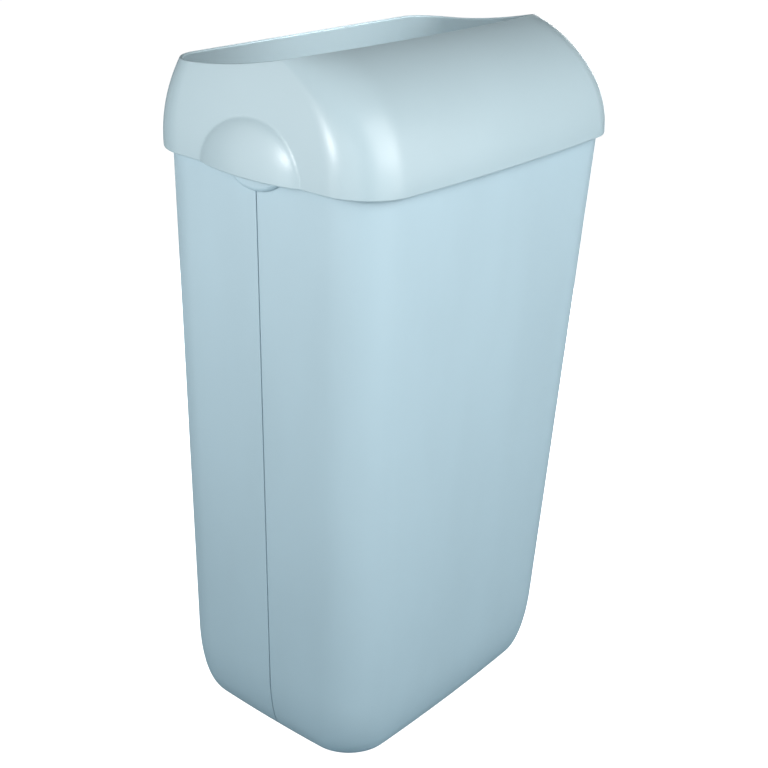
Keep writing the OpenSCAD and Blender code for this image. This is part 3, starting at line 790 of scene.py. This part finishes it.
class Shader:
    """A material with one Principled shader, and the few node patterns that the pieces need."""

    def __init__(self, name, colour, rough, metallic=0, ior=1.5):
        self.material = bpy.data.materials.new(name)
        self.material.use_nodes = True
        self.material.diffuse_color = (*colour, 1)
        self.tree = self.material.node_tree
        self.bsdf = self.tree.nodes["Principled BSDF"]
        self.colour, self.rough = colour, rough
        self.set(self.bsdf, {"Base Color": (*colour, 1), "Roughness": rough})
        self.set(self.bsdf, {"Metallic": metallic, "IOR": ior})
        self.place = self.node("ShaderNodeTexCoord").outputs["Object"]

    def set(self, node, values):
        for socket, value in values.items():
            if isinstance(value, bpy.types.NodeSocket):
                self.tree.links.new(value, node.inputs[socket])
            else:
                node.inputs[socket].default_value = value

    def node(self, kind, values=(), **settings):
        made = self.tree.nodes.new(kind)
        for name, value in settings.items():
            setattr(made, name, value)
        self.set(made, dict(values))
        return made

    def noise(self, size, stretch=(1, 1, 1), detail=2):
        """Noise whose features are about size millimetres across, longer along a stretched axis."""
        scale = tuple(1 / s for s in stretch)
        place = self.node("ShaderNodeMapping", {"Vector": self.place, "Scale": scale}).outputs["Vector"]
        values = {"Vector": place, "Scale": 1 / (size * MM), "Detail": detail}
        return self.node("ShaderNodeTexNoise", values).outputs["Fac"]

    def ranged(self, source, low, high, start=0.3, stop=0.7):
        values = {"Value": source, "From Min": start, "From Max": stop, "To Min": low, "To Max": high}
        return self.node("ShaderNodeMapRange", values, interpolation_type="SMOOTHSTEP").outputs["Result"]

    def mottle(self, source, amount):
        """Makes the colour a little darker and lighter, following a pattern."""
        dark, light = [(*(c * (1 + sign * amount) for c in self.colour), 1) for sign in (-1, 1)]
        mixed = self.node("ShaderNodeMix", data_type="RGBA")
        factor = self.ranged(source, 0, 1)
        self.tree.links.new(factor, mixed.inputs[0])
        mixed.inputs[6].default_value, mixed.inputs[7].default_value = dark, light
        self.set(self.bsdf, {"Base Color": mixed.outputs[2]})

    def polish(self, source, amount):
        """Makes the roughness vary, following a pattern."""
        self.set(self.bsdf, {"Roughness": self.ranged(source, self.rough - amount, self.rough + amount)})

    def relief(self, layers):
        """Bumps from (pattern, depth in millimetres) pairs."""
        normal = None
        for source, depth in layers:
            values = {"Height": source, "Distance": depth * MM, "Strength": 1}
            if normal:
                values["Normal"] = normal
            normal = self.node("ShaderNodeBump", values).outputs["Normal"]
        self.set(self.bsdf, {"Normal": normal})


def body_plastic():
    """Satin injection-moulded plastic with a fine spark-eroded grain."""
    shader = Shader("body_plastic", BODY_COLOUR, 0.42)
    grain, drift = shader.noise(0.9, detail=3), shader.noise(70, (1, 1, 3))
    shader.mottle(drift, 0.018)
    shader.polish(shader.noise(20), 0.03)
    shader.relief([(grain, 0.012), (drift, 0.15)])
    return shader.material


def hood_plastic():
    """The same plastic, polished, with the faint waviness of a moulded skin."""
    shader = Shader("hood_plastic", HOOD_COLOUR, 0.3)
    drift = shader.noise(90)
    shader.mottle(drift, 0.01)
    shader.polish(shader.noise(40), 0.015)
    shader.relief([(shader.noise(1.2), 0.003), (drift, 0.1)])
    return shader.material


def ring_plastic():
    shader = Shader("ring_plastic", (0.6, 0.65, 0.68), 0.4)
    shader.mottle(shader.noise(25), 0.03)
    shader.polish(shader.noise(6, detail=4), 0.06)
    shader.relief([(shader.noise(0.8, detail=3), 0.012)])
    return shader.material


def bush_plastic():
    """Natural acetal: smooth, milky and a little waxy."""
    shader = Shader("bush_plastic", (0.8, 0.79, 0.74), 0.28)
    shader.mottle(shader.noise(4), 0.02)
    shader.polish(shader.noise(2, detail=4), 0.05)
    shader.relief([(shader.noise(1), 0.004)])
    return shader.material


def strip_plastic():
    """Extruded plastic with fine die lines along its length."""
    shader = Shader("strip_plastic", (0.46, 0.51, 0.54), 0.45)
    lines = shader.noise(0.7, (1, 1, 120))
    shader.mottle(lines, 0.03)
    shader.polish(shader.noise(5, (1, 1, 8)), 0.06)
    shader.relief([(lines, 0.03)])
    return shader.material


def zinc_steel():
    """Zinc-plated steel, with the cloudy spangle of the plating and fine drawing marks."""
    shader = Shader("zinc_steel", (0.62, 0.63, 0.65), 0.3, metallic=1)
    cloud = shader.noise(2.5, detail=4)
    shader.mottle(cloud, 0.08)
    shader.polish(cloud, 0.08)
    shader.relief([(shader.noise(0.25, (14, 1, 1)), 0.006)])
    return shader.material


def black_rubber():
    """Moulded rubber with a dusty, slightly pitted skin."""
    shader = Shader("black_rubber", (0.028, 0.028, 0.03), 0.72)
    dust = shader.noise(3, detail=5)
    shader.mottle(dust, 0.25)
    shader.polish(dust, 0.1)
    shader.relief([(shader.noise(0.5, detail=3), 0.03)])
    return shader.material


def floor_paint():
    """White sweep: it looks evenly lit, and returns less light to the bin than it shows."""
    shader = Shader("floor_paint", (0.8, 0.805, 0.81), 0.75)
    shader.mottle(shader.noise(160), 0.01)
    shader.relief([(shader.noise(3, detail=3), 0.02)])
    shader.set(shader.bsdf, {"Emission Color": (1, 1, 1, 1), "Emission Strength": FLOOR_GLOW})
    bounced = shader.node("ShaderNodeBsdfDiffuse", {"Color": (*BOUNCE_COLOUR, 1)}).outputs["BSDF"]
    seen = shader.node("ShaderNodeLightPath").outputs["Is Camera Ray"]
    pick = shader.node("ShaderNodeMixShader", {"Fac": seen})
    shader.tree.links.new(bounced, pick.inputs[1])
    shader.tree.links.new(shader.bsdf.outputs["BSDF"], pick.inputs[2])
    shader.set(shader.tree.nodes["Material Output"], {"Surface": pick.outputs["Shader"]})
    return shader.material


# ---- camera, floor and light ----

CAMERA_YAW = math.radians(51.4)
CAMERA_PITCH = math.radians(24.43)
CAMERA_ROLL = math.radians(2.57)
CAMERA_PLACE = Vector((-0.8465, -0.6761, 0.7797))
LENS = 64.64
FLOOR_HALF = 12
WORLD_LIGHT = 0.02


def camera_axes():
    """Right, up and forward directions of the camera."""
    sin_y, cos_y = math.sin(CAMERA_YAW), math.cos(CAMERA_YAW)
    sin_p, cos_p = math.sin(CAMERA_PITCH), math.cos(CAMERA_PITCH)
    forward = Vector((sin_y * cos_p, cos_y * cos_p, -sin_p))
    level = Vector((cos_y, -sin_y, 0))
    above = level.cross(forward)
    right = level * math.cos(CAMERA_ROLL) + above * math.sin(CAMERA_ROLL)
    up = -level * math.sin(CAMERA_ROLL) + above * math.cos(CAMERA_ROLL)
    return right, up, forward


def make_camera():
    """Camera that looks down at the front left corner."""
    data = bpy.data.cameras.new("camera")
    data.sensor_width = 36
    data.lens = LENS
    camera = bpy.data.objects.new("camera", data)
    bpy.context.scene.collection.objects.link(camera)
    right, up, forward = camera_axes()
    camera.matrix_world = Matrix((
        (right.x, up.x, -forward.x, CAMERA_PLACE.x),
        (right.y, up.y, -forward.y, CAMERA_PLACE.y),
        (right.z, up.z, -forward.z, CAMERA_PLACE.z),
        (0, 0, 0, 1),
    ))
    bpy.context.scene.camera = camera


def area_light(name, place, aim, size, power, height=None, spread=180):
    """Square or oblong lamp, with its size in metres, power in watts and spread in degrees."""
    data = bpy.data.lights.new(name, "AREA")
    data.shape = "RECTANGLE"
    data.size, data.size_y = size, height or size
    data.energy = power
    data.spread = math.radians(spread)
    lamp = bpy.data.objects.new(name, data)
    bpy.context.scene.collection.objects.link(lamp)
    lamp.location = place
    lamp.rotation_mode = "QUATERNION"
    lamp.rotation_quaternion = (Vector(aim) - Vector(place)).to_track_quat("-Z", "Y")
    return lamp


def make_floor():
    """Wide plain floor, which isn't part of the bin."""
    mesh = bpy.data.meshes.new("floor")
    s = FLOOR_HALF
    mesh.from_pydata([(-s, -s, 0), (s, -s, 0), (s, s, 0), (-s, s, 0)], [], [(0, 1, 2, 3)])
    floor = bpy.data.objects.new("floor", mesh)
    bpy.context.scene.collection.objects.link(floor)
    floor.data.materials.append(floor_paint())


def make_world():
    """White behind the bin for the camera, and a faint even light on everything else."""
    world = bpy.data.worlds.new("studio")
    world.use_nodes = True
    tree = world.node_tree
    out, seen = tree.nodes["World Output"], tree.nodes["Background"]
    seen.inputs["Color"].default_value = (1, 1, 1, 1)
    seen.inputs["Strength"].default_value = 1
    light = tree.nodes.new("ShaderNodeBackground")
    light.inputs["Color"].default_value = (1, 1, 1, 1)
    light.inputs["Strength"].default_value = WORLD_LIGHT
    path, pick = tree.nodes.new("ShaderNodeLightPath"), tree.nodes.new("ShaderNodeMixShader")
    tree.links.new(path.outputs["Is Camera Ray"], pick.inputs["Fac"])
    tree.links.new(light.outputs["Background"], pick.inputs[1])
    tree.links.new(seen.outputs["Background"], pick.inputs[2])
    tree.links.new(pick.outputs["Shader"], out.inputs["Surface"])
    bpy.context.scene.world = world
    bpy.context.scene.view_settings.view_transform = "Standard"


def around(azimuth, height, distance):
    """A point round the bin: azimuth 0 is the front, and positive is towards the right."""
    a = math.radians(azimuth)
    return (distance * math.sin(a), -distance * math.cos(a), height)


def make_lights():
    """Soft lights round the side that the camera sees, two low ones behind and one for the throat."""
    hood, body = (0, 0, 0.5), (0, 0, 0.3)
    area_light("key", around(-80, 0.6, 0.9), hood, 0.9, 3.3)
    area_light("left", around(-115, 0.6, 1.0), hood, 0.8, 3.1)
    area_light("left_spot", around(-94, 0.68, 0.8), hood, 0.14, 1.6)
    area_light("front", around(0, 1.2, 1.1), hood, 1.0, 11.8)
    area_light("front_low", around(-8, 0.65, 0.9), hood, 0.8, 3.5)
    area_light("right", around(22, 0.8, 1.2), hood, 1.0, 4)
    area_light("back_right", around(115, 0.32, 1.1), body, 0.6, 6)
    back = area_light("back", around(165, 0.32, 1.1), body, 0.6, 6)
    back.visible_glossy = False
    throat = area_light("throat", (0.03, -0.05, 0.66), (0.035, 0.1, 0.56), 0.22, 0.11, height=0.05, spread=70)
    throat.visible_camera = False


make_camera()
make_floor()
make_world()
make_lights()
satin, gloss, zinc, rubber = body_plastic(), hood_plastic(), zinc_steel(), black_rubber()
strip_finish = strip_plastic()
make_shell("front_shell", FRONT, satin)
make_shell("rear_shell", REAR, satin)
make_hood(gloss)
make_bag_ring(ring_plastic())
make_pivots(zinc, bush_plastic())
for side, hand in ((LEFT, "left"), (RIGHT, "right")):
    make_seam_clip(side, hand, satin)
    make_joining_strip(side, hand, strip_finish)
make_strip_screws(zinc)
make_base_clips(zinc)
for name in frame["nodes"]:
    if name.startswith("foot_"):
        make_foot(name, rubber)
    elif name.startswith("wall_spacer_"):
        make_spacer(name, rubber)
